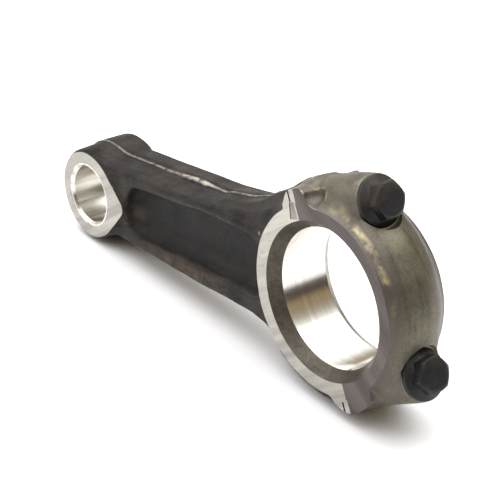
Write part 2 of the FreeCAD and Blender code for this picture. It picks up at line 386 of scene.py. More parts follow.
def math_node(tree, operation, a, b=None):
    node = tree.nodes.new("ShaderNodeMath")
    node.operation = operation
    for i, value in enumerate((a, b)):
        if value is None:
            continue
        if isinstance(value, (int, float)):
            node.inputs[i].default_value = value
        else:
            tree.links.new(value, node.inputs[i])
    return node.outputs[0]


def times(tree, a, b):
    return math_node(tree, "MULTIPLY", a, b)


def ramp(tree, value, low, high):
    """0 at low, 1 at high, straight between them."""
    node = add_node(tree, "ShaderNodeMapRange", [("Value", value)], in_From_Min=low, in_From_Max=high)
    return node.outputs["Result"]


def noise(tree, vector, size, detail=3.0, roughness=0.55):
    """Noise whose blotches are about size millimetres across."""
    return add_node(tree, "ShaderNodeTexNoise", [("Vector", vector)], in_Scale=1 / (size * MM),
                    in_Detail=detail, in_Roughness=roughness).outputs["Fac"]


def make_scale_skin():
    """Shot-blasted forging scale: blotches, fine pits and a height for the bump."""
    group, given, made = effect_group("scale skin", [("Blotch size", 14.0), ("Pit depth", 1.0)],
                                      ("Blotches", "Grain", "Scratches", "Pits", "Height"))
    where = group.nodes.new("ShaderNodeTexCoord").outputs["Object"]
    blotch_scale = math_node(group, "DIVIDE", 1 / MM, given["Blotch size"])
    blotches = add_node(group, "ShaderNodeTexNoise", [("Vector", where), ("Scale", blotch_scale)],
                        in_Detail=6.0, in_Roughness=0.62)
    coarse, fine = noise(group, where, 1.3, 5.0, 0.65), noise(group, where, 0.35, 2.0)
    grain = noise(group, where, 0.8, 5.0, 0.75)
    scratches = 0.0
    for angle, stretch in ((0.35, 26.0), (-0.9, 18.0), (1.5, 22.0)):
        spin = add_node(group, "ShaderNodeVectorRotate", [("Vector", where)], rotation_type="Y_AXIS",
                        in_Angle=angle)
        thin = add_node(group, "ShaderNodeMapping", [("Vector", spin.outputs["Vector"])],
                        in_Scale=(1 / stretch, 1.0, 1.0))
        line = ramp(group, noise(group, thin.outputs["Vector"], 0.55, 1.0), 0.66, 0.74)
        scratches = math_node(group, "MAXIMUM", line, scratches)
    scuffed = ramp(group, noise(group, where, 9.0, 3.0), 0.46, 0.60)
    scratches = times(group, scratches, scuffed)
    group.links.new(ramp(group, grain, 0.36, 0.64), made["Grain"])
    group.links.new(scratches, made["Scratches"])
    cells = add_node(group, "ShaderNodeTexVoronoi", [("Vector", where)], in_Scale=1 / (1.6 * MM))
    pits = ramp(group, cells.outputs["Distance"], 0.16, 0.05)
    pits = times(group, pits, ramp(group, noise(group, where, 5.0), 0.5, 0.62))
    height = math_node(group, "ADD", coarse, times(group, fine, 0.5))
    sunk = times(group, pits, given["Pit depth"])
    height = math_node(group, "SUBTRACT", height, sunk)
    group.links.new(ramp(group, blotches.outputs["Fac"], 0.32, 0.68), made["Blotches"])
    group.links.new(pits, made["Pits"])
    group.links.new(height, made["Height"])
    return group


def make_edge_wear_and_sheen():
    """Convex edges made brighter: partly handling and blasting wear, partly a painted highlight where the edges
    would catch the light.
    """
    group, given, made = effect_group("edge wear and sheen", [("Start", 0.52), ("End", 0.60), ("Patchiness", 0.5)],
                                      ("Wear and sheen",))
    bend = group.nodes.new("ShaderNodeNewGeometry").outputs["Pointiness"]
    where = group.nodes.new("ShaderNodeTexCoord").outputs["Object"]
    edge = add_node(group, "ShaderNodeMapRange", [("Value", bend), ("From Min", given["Start"]),
                                                  ("From Max", given["End"])]).outputs["Result"]
    patch = ramp(group, noise(group, where, 6.0, 5.0), 0.35, 0.65)
    gone = times(group, math_node(group, "SUBTRACT", 1.0, patch), given["Patchiness"])
    # the mask is partly wear and partly painted highlight on convex edges
    wear = times(group, edge, math_node(group, "SUBTRACT", 1.0, gone))
    group.links.new(wear, made["Wear and sheen"])
    return group


def make_tool_lines():
    """Fine parallel lines that grinding, turning or honing leaves; Turn is their angle in the side view."""
    given_values = [("Turn", 0.0), ("Pitch", 0.35), ("Long way", 30.0), ("Across", 1.0), ("Along bore", 1.0)]
    group, given, made = effect_group("tool lines", given_values, ("Lines", "Bands"))
    where = group.nodes.new("ShaderNodeTexCoord").outputs["Object"]
    spin = add_node(group, "ShaderNodeVectorRotate", [("Vector", where), ("Angle", given["Turn"])],
                    rotation_type="Y_AXIS")
    parts = add_node(group, "ShaderNodeSeparateXYZ", [("Vector", spin.outputs["Vector"])])
    stretched = [(axis, math_node(group, "DIVIDE", parts.outputs[axis], given[label]))
                 for axis, label in (("X", "Long way"), ("Y", "Along bore"), ("Z", "Across"))]
    flat = add_node(group, "ShaderNodeCombineXYZ", stretched)
    scale = math_node(group, "DIVIDE", 1 / MM, given["Pitch"])
    lines = add_node(group, "ShaderNodeTexNoise", [("Vector", flat.outputs["Vector"]), ("Scale", scale)],
                     in_Detail=3.0, in_Roughness=0.6)
    bands = add_node(group, "ShaderNodeTexNoise",
                     [("Vector", flat.outputs["Vector"]), ("Scale", math_node(group, "DIVIDE", scale, 9.0))],
                     in_Detail=2.0)
    group.links.new(lines.outputs["Fac"], made["Lines"])
    group.links.new(bands.outputs["Fac"], made["Bands"])
    return group


SCALE_SKIN, EDGE_WEAR_AND_SHEEN, TOOL_LINES = make_scale_skin(), make_edge_wear_and_sheen(), make_tool_lines()


def new_finish(name, metallic):
    """A material with a Principled BSDF, and its node tree."""
    material = bpy.data.materials.new(name)
    material.use_nodes = True
    tree = material.node_tree
    shader = tree.nodes["Principled BSDF"]
    shader.inputs["Metallic"].default_value = metallic
    return material, tree, shader


def effect(tree, group, **values):
    """A shared effect placed in a material with its own values."""
    node = tree.nodes.new("ShaderNodeGroup")
    node.node_tree = group
    for label, value in values.items():
        node.inputs[label.replace("_", " ")].default_value = value
    return node.outputs


def mix_colour(tree, amount, a, b):
    """Colour a where amount is 0 and b where it is 1; each is a colour or an output socket."""
    node = tree.nodes.new("ShaderNodeMix")
    node.data_type = "RGBA"
    for socket, value in ((node.inputs[0], amount), (node.inputs[6], a), (node.inputs[7], b)):
        if isinstance(value, bpy.types.NodeSocket):
            tree.links.new(value, socket)
        elif isinstance(value, tuple):
            socket.default_value = (*value, 1.0)
        else:
            socket.default_value = value
    return node.outputs[2]


def bump(tree, shader, height, distance):
    """Height in texture units turned into a bump of so many millimetres."""
    node = add_node(tree, "ShaderNodeBump", [("Height", height)], in_Strength=1.0,
                    in_Distance=distance * MM)
    tree.links.new(node.outputs["Normal"], shader.inputs["Normal"])


def band(tree, value, middle, outer, inner):
    """1 where a coordinate is within inner millimetres of middle, falling to 0 at outer."""
    off = math_node(tree, "ABSOLUTE", math_node(tree, "SUBTRACT", value, middle * MM))
    return ramp(tree, off, outer * MM, inner * MM)


def near_spot(tree, where, spot, outer, inner):
    """1 within inner millimetres of a point, falling to 0 at outer."""
    off = add_node(tree, "ShaderNodeVectorMath", [(0, where)], operation="DISTANCE")
    off.inputs[1].default_value = tuple(np.array(spot) * MM)
    return ramp(tree, off.outputs["Value"], outer * MM, inner * MM)


def streaks(tree, where, parts, round_bore):
    """Grain of the die run: noise drawn out along the rod, or round the big bore."""
    if round_bore:
        turn = math_node(tree, "ARCTAN2", parts["Z"], parts["X"])
        radius = add_node(tree, "ShaderNodeCombineXYZ", [("X", parts["X"]), ("Y", parts["Z"])])
        radius = add_node(tree, "ShaderNodeVectorMath", [(0, radius.outputs["Vector"])], operation="LENGTH")
        drawn = add_node(tree, "ShaderNodeCombineXYZ", [("X", times(tree, turn, 7 * MM)), ("Y", parts["Y"]),
                                                        ("Z", radius.outputs["Value"])])
    else:
        drawn = add_node(tree, "ShaderNodeMapping", [("Vector", where)], in_Scale=(0.14, 1.0, 1.0))
    return ramp(tree, noise(tree, drawn.outputs["Vector"], 2.6, 5.0, 0.65), 0.48, 0.72)


def pocket_foot(tree, where, parts):
    """Patches of stain along the lower wall of the pocket."""
    wall = ramp(tree, parts["Z"], -12 * MM, -15.5 * MM)
    wall = times(tree, wall, band(tree, parts["X"], FLASH_WIDE_X, 42, 12))
    return times(tree, wall, ramp(tree, noise(tree, where, 5.0, 5.0, 0.65), 0.36, 0.60))


def pocket_painted_shade(tree, parts, rise):
    """The floor of the pocket, but for its round rise: a painted shade that darkens the recess."""
    floor = times(tree, band(tree, parts["Y"], 0, 11.5, 8.5), math_node(tree, "SUBTRACT", 1.0, rise))
    floor = times(tree, floor, band(tree, parts["Z"], 0, 17.0, 16.2))
    return times(tree, floor, ramp(tree, parts["X"], -147 * MM, -142 * MM))


def trimmed_flash(tree, where, parts):
    """Bare metal in patches along the die line, wider where the flash was."""
    wide = times(tree, band(tree, parts["X"], FLASH_WIDE_X, 16, 7), 0.5)
    off_line = math_node(tree, "ABSOLUTE", parts["Y"])
    off_line = times(tree, off_line, math_node(tree, "SUBTRACT", 1.0, wide))
    on_line = ramp(tree, off_line, 0.85 * MM, 0.30 * MM)
    patchy = ramp(tree, noise(tree, where, 3.0, 4.0), 0.34, 0.56)
    return times(tree, times(tree, on_line, patchy), math_node(tree, "ADD", wide, 0.5))


def painted_glints(tree, where, parts):
    """Painted glints: golden highlights painted on the near edge of the upper rim and round the dent beside the
    boss.
    """
    edge = band(tree, parts["Y"], -14.2, 1.9, 0.2)
    edge = times(tree, edge, ramp(tree, noise(tree, where, 7.0, 3.0), 0.42, 0.66))
    edge = times(tree, edge, ramp(tree, parts["Z"], 2 * MM, 24 * MM))
    edge = times(tree, edge, ramp(tree, parts["X"], 2 * MM, 14 * MM))
    dent = near_spot(tree, where, bolt_point(*DIE_MARK), 7.0, 6.0)
    dent = times(tree, dent, ramp(tree, noise(tree, where, 3.5, 3.0), 0.42, 0.60))
    convex = ramp(tree, tree.nodes.new("ShaderNodeNewGeometry").outputs["Pointiness"], 0.505, 0.54)
    return math_node(tree, "MAXIMUM", edge, times(tree, dent, convex))


PIT_TONE = (0.012, 0.010, 0.009)
# grey of the painted shade on the pocket floor
PAINTED_FLOOR_SHADE = (0.030, 0.030, 0.030)
# lighter tone painted on the rise in the pocket floor, painted light where it stands up
PAINTED_RISE_LIGHT = (0.085, 0.072, 0.058)
# colour of the painted golden glints
PAINTED_GLINT_TONE = (0.62, 0.54, 0.30)


def forged_finish(name, dark, light, worn, rough, metallic, flash=0.0, wear=1.0, blotch=14.0, pocket=0.0,
                  stain=(0.10, 0.072, 0.040), bump_depth=0.16, scuffs=0.5, round_bore=False, glint=0.0,
                  specular=0.5, side_tone=None):
    """Blasted forging skin: two scale colours in blotches, brighter edges that are partly wear and partly painted
    highlight, and bare trimmed flash.
    """
    material, tree, shader = new_finish(name, metallic)
    shader.inputs["Specular IOR Level"].default_value = specular
    skin = effect(tree, SCALE_SKIN, Blotch_size=blotch, Pit_depth=0.8)
    edge = effect(tree, EDGE_WEAR_AND_SHEEN, Start=0.515, End=0.60, Patchiness=0.55)
    where = tree.nodes.new("ShaderNodeTexCoord").outputs["Object"]
    parts = add_node(tree, "ShaderNodeSeparateXYZ", [("Vector", where)]).outputs
    stained = ramp(tree, noise(tree, where, 22.0, 4.0), 0.52, 0.70)
    if pocket:
        foot = times(tree, pocket_foot(tree, where, parts), 2.0)
        stained = math_node(tree, "MAXIMUM", times(tree, stained, 0.5), foot)
    layers = [(skin["Grain"], 0.45, tuple(c * 1.7 for c in light)), (stained, 0.45, stain),
              (skin["Scratches"], scuffs, worn),
              (streaks(tree, where, parts, round_bore), 0.55, tuple(c * 0.55 for c in dark)),
              (skin["Pits"], 0.7, PIT_TONE)]
    if pocket:
        # painted light: the round rise in the pocket floor is coloured lighter
        rise = near_spot(tree, where, (RISE_SPOT[0], -8.0, RISE_SPOT[1]), 7.0, 1.5)
        # painted shade darkens the pocket floor
        layers += [(rise, 0.55, PAINTED_RISE_LIGHT), (pocket_painted_shade(tree, parts, rise), pocket, PAINTED_FLOOR_SHADE)]
    # bright edges, partly wear and partly painted highlight, join the trimmed flash in the worn colour
    bare = times(tree, edge["Wear and sheen"], wear)
    if flash:
        bare = math_node(tree, "MAXIMUM", bare, times(tree, trimmed_flash(tree, where, parts), flash))
    layers.append((bare, 1.0, worn))
    if side_tone:
        near_side = ramp(tree, math_node(tree, "ABSOLUTE", parts["Y"]), 8.5 * MM, 14.5 * MM)
        layers.append((near_side, 0.75, side_tone))
    # painted golden glints, highlights painted into the colour
    if glint:
        layers.append((painted_glints(tree, where, parts), glint, PAINTED_GLINT_TONE))
    colour = mix_colour(tree, skin["Blotches"], dark, light)
    for mask, share, tone in layers:
        colour = mix_colour(tree, times(tree, mask, share), colour, tone)
    tree.links.new(colour, shader.inputs["Base Color"])
    gloss = math_node(tree, "MULTIPLY_ADD", skin["Blotches"], -0.10)
    gloss.node.inputs[2].default_value = rough + 0.05
    gloss = math_node(tree, "SUBTRACT", gloss, times(tree, bare, 0.12))
    tree.links.new(gloss, shader.inputs["Roughness"])
    bump(tree, shader, skin["Height"], bump_depth)
    return material


def ground_finish(name, dark, light, rough, turn=0.0, pitch=0.35, metallic=1.0, depth=0.012, spots=0.0,
                  stretch=(30.0, 1.0, 1.0), gloss_spread=0.16):
    """Machined steel: fine tool lines in colour, gloss and height, with a few darker spots."""
    material, tree, shader = new_finish(name, metallic)
    lines = effect(tree, TOOL_LINES, Turn=turn, Pitch=pitch, Long_way=stretch[0], Along_bore=stretch[1],
                   Across=stretch[2])
    where = tree.nodes.new("ShaderNodeTexCoord").outputs["Object"]
    colour = mix_colour(tree, ramp(tree, lines["Bands"], 0.35, 0.65), dark, light)
    streak = times(tree, ramp(tree, lines["Lines"], 0.45, 0.75), 0.35)
    colour = mix_colour(tree, streak, colour, tuple(c * 0.6 for c in dark))
    if spots:
        mark = ramp(tree, noise(tree, where, 2.4, 5.0, 0.7), 0.60, 0.72)
        mark = times(tree, mark, spots)
        colour = mix_colour(tree, mark, colour, (0.035, 0.028, 0.020))
    tree.links.new(colour, shader.inputs["Base Color"])
    gloss = math_node(tree, "MULTIPLY_ADD", lines["Bands"], gloss_spread)
    gloss.node.inputs[2].default_value = rough - gloss_spread / 2
    tree.links.new(gloss, shader.inputs["Roughness"])
    bump(tree, shader, lines["Lines"], depth)
    return material


# Finishes of the blank's skin and of each kind of cut, in the order of the cutters' slots.
# pocket sets how strongly the painted shade darkens the rod's pocket floor
rod_skin = forged_finish("forged skin, rod", (0.008, 0.0072, 0.0068), (0.036, 0.032, 0.030),
                         (0.46, 0.43, 0.37), 0.50, 0.45, flash=0.85, wear=0.5, pocket=0.75, scuffs=0.10,
                         specular=0.06, bump_depth=0.26, stain=(0.095, 0.070, 0.046))
side_grind = ground_finish("ground side face", (0.31, 0.295, 0.262), (0.48, 0.465, 0.42), 0.42, turn=0.5,
                           pitch=0.5, spots=0.6)
chamfer_skin = forged_finish("oxidised chamfer", (0.040, 0.035, 0.030), (0.090, 0.080, 0.062),
                             (0.25, 0.22, 0.18), 0.44, 0.85, wear=0.2, blotch=6.0)
bore_hone = ground_finish("honed bore", (0.76, 0.73, 0.66), (0.86, 0.84, 0.78), 0.19, pitch=0.35,
                          depth=0.0003, stretch=(120.0, 1.0, 120.0), gloss_spread=0.02)
joint_face = ground_finish("joint face", (0.42, 0.40, 0.36), (0.60, 0.58, 0.52), 0.38, turn=1.2, pitch=0.4)
hole_turned = ground_finish("turned hole", (0.20, 0.19, 0.17), (0.38, 0.36, 0.33), 0.40, pitch=0.3)
notch_skin = ground_finish("milled notch", (0.19, 0.165, 0.15), (0.30, 0.27, 0.24), 0.42, turn=-0.35,
                           pitch=0.7)
CUT_FINISHES = [rod_skin, side_grind, chamfer_skin, bore_hone, joint_face, hole_turned, notch_skin]
SKIN, SIDE, CHAMFER, HONED, JOINT, TURNED, NOTCH = range(len(CUT_FINISHES))

GRID = 0.75
GRID_LOW, GRID_HIGH = (-202.0, -53.0), (56.0, 61.0)
# the grid is finer near the die line, where the flash is thin
grid_y = np.unique(np.concatenate([np.arange(-18.6, 18.7, 0.775), np.arange(-2.6, 2.7, 0.4)]))
grid_y = grid_y[np.append(True, np.diff(grid_y) > 0.18)]
blank_verts, blank_quads = skin_mesh(np.arange(GRID_LOW[0], GRID_HIGH[0], GRID), grid_y,
                                     np.arange(GRID_LOW[1], GRID_HIGH[1], GRID))
blank = (blank_verts, blank_quads, CUT_FINISHES, np.zeros(len(blank_quads), int))


def prism(name, points, y0, y1, slot):
    """Straight cutter over an outline in the side view, (x, z) points."""
    ring = [tuple(p) for p in points]
    if turns_left(ring):
        ring.reverse()
    n = len(ring)
    verts = [(x, y, z) for y in (y0, y1) for x, z in ring]
    faces = [list(range(n - 1, -1, -1)), list(range(n, 2 * n))]
    faces += [[i, (i + 1) % n, (i + 1) % n + n, i + n] for i in range(n)]
    return mesh_object(name, verts, faces, CUT_FINISHES, [slot] * len(faces))


def lathe(name, profile, origin, axis, slots, sides=192):
    """Cutter turned about an axis; profile is (along, radius) from end to end, slots one per run."""
    axis = np.array(axis, float)
    side_a = np.cross(axis, [0, 0, 1] if abs(axis[2]) < 0.9 else [1, 0, 0])
    side_a /= np.linalg.norm(side_a)
    side_b = np.cross(axis, side_a)
    turns = np.arange(sides) * 2 * math.pi / sides
    round_ = np.outer(np.cos(turns), side_a) + np.outer(np.sin(turns), side_b)
    verts = np.concatenate([np.array(origin) + axis * along + round_ * radius for along, radius in profile])
    faces, picks = [list(range(sides - 1, -1, -1))], [slots[0]]
    for i in range(len(profile) - 1):
        for j in range(sides):
            k = (j + 1) % sides
            faces.append([i * sides + j, i * sides + k, (i + 1) * sides + k, (i + 1) * sides + j])
            picks.append(slots[i])
    faces.append(list(range((len(profile) - 1) * sides, len(profile) * sides)))
    picks.append(slots[-1])
    return mesh_object(name, verts, faces, CUT_FINISHES, picks)


def cut(piece, cutters, operation="DIFFERENCE"):
    """Applies Booleans in turn and throws the cutters away."""
    for cutter in cutters:
        modifier = piece.modifiers.new("cut", "BOOLEAN")
        modifier.operation = operation
        modifier.solver = "MANIFOLD"
        modifier.object = cutter
        bpy.context.view_layer.update()
        done = bpy.data.meshes.new_from_object(
            piece.evaluated_get(bpy.context.evaluated_depsgraph_get()))
        piece.modifiers.remove(modifier)
        old = piece.data
        piece.data = done
        bpy.data.meshes.remove(old)
        bpy.data.objects.remove(cutter)
    piece.data.name = piece.name


HARD_ANGLE = math.radians(28)


def shade(piece, skin_slots):
    """Smooth shading that stays crisp where a tool has cut the forging."""
    work = bmesh.new()
    work.from_mesh(piece.data)
    for face in work.faces:
        face.smooth = True
    for edge in work.edges:
        if len(edge.link_faces) != 2:
            continue
        one, two = (f.material_index for f in edge.link_faces)
        cut_edge = one != two
        hard = one not in skin_slots and edge.calc_face_angle(0) > HARD_ANGLE
        edge.smooth = not (cut_edge or hard)
    work.to_mesh(piece.data)
    work.free()


def side_points(pairs):
    """Outline points given as (u, v) turned into (x, z)."""
    return [tuple(bolt_point(u, v)[[0, 2]]) for u, v in pairs]


SEAT_R = 11.9
SEAT_CUT = 20.0
TONGUE_HALF = 43.2
TONGUE_PLAY = 0.02
STEP = 3.2
FAR = 300.0
BIG_END_AREA = ((-100, -80), (80, -80), (80, 80), (-100, 80))
SMALL_END_AREA = ((-230, -80), (-110, -80), (-110, 80), (-230, 80))
FRONT_CHAMFER, REAR_CHAMFER = (4.0, 5.5), (1.6, 2.9)      # width on the face, depth in the bore
PARTING_NOTCH = ((-1.3, 30), (0, 32.4), (1.3, 30))        # u, v of the V cut where rod and cap meet
NOTCH_LENGTH = 7.0
JOINT_MARK = ((-5.5, 36.2), (-3.7, 43.0), (-0.7, 43.0), (-0.7, 35.7))
JOINT_MARK_DEPTH = 0.25
BUSH_SEAT_R = 16.0
TAP_R = 4.5
TAP_ROOT_R = 4.95
TAP_MOUTH_R = 8.5
THREAD_PITCH = 1.25


def joint_cutter(cap_side):
    """Everything on one side of the stepped joint; the faces it leaves are machined."""
    reach = FAR if cap_side else -FAR
    tongue = TONGUE_HALF + (0.0 if cap_side else TONGUE_PLAY)
    line = [(-STEP, -FAR), (-STEP, -tongue), (0, -tongue), (0, tongue), (-STEP, tongue), (-STEP, FAR)]
    return prism("joint cut", side_points([(reach, -FAR)] + line + [(reach, FAR)]), -60, 60, JOINT)


def blank_cutters():
    """The cuts that rod and cap share."""
    cutters = []
    for side in (-1, 1):
        reach = side * 40
        cutters.append(prism("side cut", BIG_END_AREA, *sorted((side * HALF_WIDTH, reach)), SIDE))
        cutters.append(prism("eye cut", SMALL_END_AREA, *sorted((side * EYE_HALF, reach)), SIDE))
    beyond = 3.0
    front, rear = FRONT_CHAMFER, REAR_CHAMFER
    profile = [(-HALF_WIDTH - beyond, BORE_R + front[0] * (1 + beyond / front[1])),
               (-HALF_WIDTH + front[1], BORE_R), (HALF_WIDTH - rear[1], BORE_R),
               (HALF_WIDTH + beyond, BORE_R + rear[0] * (1 + beyond / rear[1]))]
    cutters.append(lathe("bore cut", profile, (0, 0, 0), (0, 1, 0), [CHAMFER, HONED, SIDE], 288))
    for side in (1, -1):
        seat = [(SEAT_U, SEAT_R), (SEAT_U + SEAT_CUT, SEAT_R)]
        cutters.append(lathe("seat cut", seat, bolt_point(0, side * BOLT_V), bolt_axis, [SIDE], 96))
        notch = side_points([(u, side * v) for u, v in PARTING_NOTCH])
        cutters.append(prism("parting notch", notch, -HALF_WIDTH - 1, -HALF_WIDTH + NOTCH_LENGTH, CHAMFER))
    return cutters


def tapped_profile():
    """Tapped hole from its drilled point to the joint, with its thread as turned rings."""
    profile = [(-26.6, 0.1), (-24.0, TAP_R)]
    along = -23.0
    while along < -5.0:
        profile += [(along, TAP_R), (along + 0.62, TAP_ROOT_R)]
        along += THREAD_PITCH
    return profile + [(-4.6, TAP_R), (-1.0, TAP_R), (3.0, TAP_MOUTH_R)]


rod = mesh_object("rod_forging_skin", *blank)
rod_cuts = blank_cutters()
rod_cuts.append(prism("joint mark", side_points(JOINT_MARK), -HALF_WIDTH - 2, -HALF_WIDTH + JOINT_MARK_DEPTH,
                      NOTCH))
bush_seat = [(-30, BUSH_SEAT_R), (30, BUSH_SEAT_R)]
rod_cuts.append(lathe("bush seat", bush_seat, (EYE_X, 0, 0), (0, 1, 0), [HONED], 160))
thread = tapped_profile()
for side in (1, -1):
    rod_cuts.append(lathe("tapped hole", thread, bolt_point(0, side * BOLT_V), bolt_axis,
                          [TURNED] * (len(thread) - 1), 64))
cut(rod, [joint_cutter(True)] + rod_cuts)
shade(rod, (SKIN,))
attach(rod, "rod")
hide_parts("rod_forging")

# ---------------------------------------------------------------------------
# The bearing cap.  It is the other part of the same forging, smoother and browner than the
# rod, bored with it, and machined at the back of each boss to seat the bolt's flange.
BOLT_HOLE_R = 4.7
HOLE_CHAMFER = 2.0
LIP_V = 52.0                  # beyond the end of the joint's lip
LIP_FACE_DEPTH = 0.06
GAP = 0.9                     # slot left where the lip stands off the rod
GAP_DEPTH = 3.5
# the cap's golden worn colour brightens its convex edges as wear and as a painted highlight; glint sets how
# strongly its painted golden glints show
cap_skin = forged_finish("forged skin, cap", (0.052, 0.044, 0.037), (0.140, 0.128, 0.086),
                         (0.62, 0.54, 0.36), 0.44, 0.55, wear=0.5, blotch=12.0, stain=(0.070, 0.055, 0.052),
                         bump_depth=0.10, scuffs=0.08, round_bore=True, glint=0.85,
                         side_tone=(0.098, 0.083, 0.074))
cap_side = ground_finish("cap side face", (0.070, 0.058, 0.054), (0.128, 0.110, 0.102), 0.38, turn=-0.75,
                         pitch=1.1, depth=0.08, metallic=0.8)
# the machined spot face is coloured bright gold: bare metal with a painted glint along the seat's rim
seat_ring_glint = ground_finish("spot face, painted glint", (0.42, 0.37, 0.24), (0.80, 0.72, 0.48), 0.30, pitch=0.8, depth=0.03)
cap_finishes = [cap_skin, cap_side, chamfer_skin, bore_hone, joint_face, hole_turned, seat_ring_glint, side_grind]
SEAT, LIP = NOTCH, len(cap_finishes) - 1      # the cap has no joint mark, so its seats take that slot

cap = mesh_object("bearing_cap_skin", *blank)
cap_cuts = blank_cutters()
for side in (1, -1):
    hole = [(-8, BOLT_HOLE_R), (SEAT_U - 0.5, BOLT_HOLE_R), (SEAT_U + 1.5, BOLT_HOLE_R + HOLE_CHAMFER)]
    cap_cuts.append(lathe("bolt hole", hole, bolt_point(0, side * BOLT_V), bolt_axis, [TURNED, TURNED], 64))
    lip = side_points([(-STEP - 1, side * (TONGUE_HALF - 1)), (0.6, side * (TONGUE_HALF - 1)),
                       (0.9, side * LIP_V), (-STEP - 1, side * LIP_V)])
    cap_cuts.append(prism("lip face", lip, -HALF_WIDTH - 2, -HALF_WIDTH + LIP_FACE_DEPTH, TURNED))
    slot = side_points([(-STEP - 1, side * (TONGUE_HALF - 0.4)), (-STEP + GAP, side * (TONGUE_HALF - 0.4)),
                        (-STEP + GAP, side * LIP_V), (-STEP - 1, side * LIP_V)])
    cap_cuts.append(prism("lip gap", slot, -HALF_WIDTH - 2, -HALF_WIDTH + GAP_DEPTH, CHAMFER))
cut(cap, [joint_cutter(False)] + cap_cuts)
for place, finish in enumerate(cap_finishes[:LIP]):
    cap.data.materials[place] = finish
cap.data.materials.append(cap_finishes[LIP])
for face in cap.data.polygons:
    if face.material_index == SIDE and abs(np.dot(face.normal, bolt_axis)) > 0.9:
        face.material_index = SEAT
    if face.material_index == TURNED and face.normal.y < -0.9:
        face.material_index = LIP
shade(cap, (SKIN,))
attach(cap, "cap")
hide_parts("bearing_cap")

# ---------------------------------------------------------------------------
# The two cap bolts.  Flanged hexagon bolts, cold headed, thread rolled and blackened; the
# waisted shank is thinner than the thread so that it stretches when the bolt is tightened.
HEX_AF = 14.6
HEAD_HEIGHT = 8.1
FLANGE_R = 11.0
THREAD_R = 4.45
THREAD_DEPTH = 0.62
THREAD_STEP = 0.156           # eight rings a turn
WAIST_R = 4.2
BOLT_END_U = -20.5
THREAD_TOP_U = 1.5
HEX_CORNER = 0.45
# side of the joint, and how far the hexagon happened to be turned in degrees when it was tight
HEX_TURN = {"upper_cap_bolt": (1, 2.0), "lower_cap_bolt": (-1, 8.0)}

bolt_black = forged_finish("blackened bolt", (0.0055, 0.0050, 0.0075), (0.010, 0.010, 0.0105),
                           (0.035, 0.035, 0.038), 0.42, 0.0, wear=0.3, blotch=5.0, specular=0.3)


def turned_mesh(name, rings, sides, radius_at):
    """Closed turned solid along the bolt; radius_at gives radii round each ring."""
    turns = np.arange(sides) * 2 * math.pi / sides
    verts = []
    for along, radius in rings:
        r = radius_at(along, turns, radius)
        verts += [bolt_axis * along + across_axis * (math.sin(a) * ri) + np.array([0, math.cos(a) * ri, 0])
                  for a, ri in zip(turns, r, strict=True)]
    faces = [list(range(sides))]
    for i in range(len(rings) - 1):
        for j in range(sides):
            k = (j + 1) % sides
            faces.append([i * sides + k, i * sides + j, (i + 1) * sides + j, (i + 1) * sides + k])
    faces.append(list(range(len(rings) * sides - 1, (len(rings) - 1) * sides - 1, -1)))
    return mesh_object(name, verts, faces, [bolt_black])


def thread_radius(along, turns, radius):
    """Rolled thread: the radius dips once a turn, and fades out at both ends."""
    if along > THREAD_TOP_U or along < BOLT_END_U + 0.01:
        return np.full(turns.shape, radius)
    phase = (along / THREAD_PITCH - turns / (2 * math.pi)) % 1.0
    dip = np.clip(np.abs(phase - 0.5) * 2.6 - 0.25, 0, 1)
    fade = min(1.0, (THREAD_TOP_U - along) / 1.2, (along - BOLT_END_U) / 0.5)
    return radius - THREAD_DEPTH * dip * max(fade, 0.0)


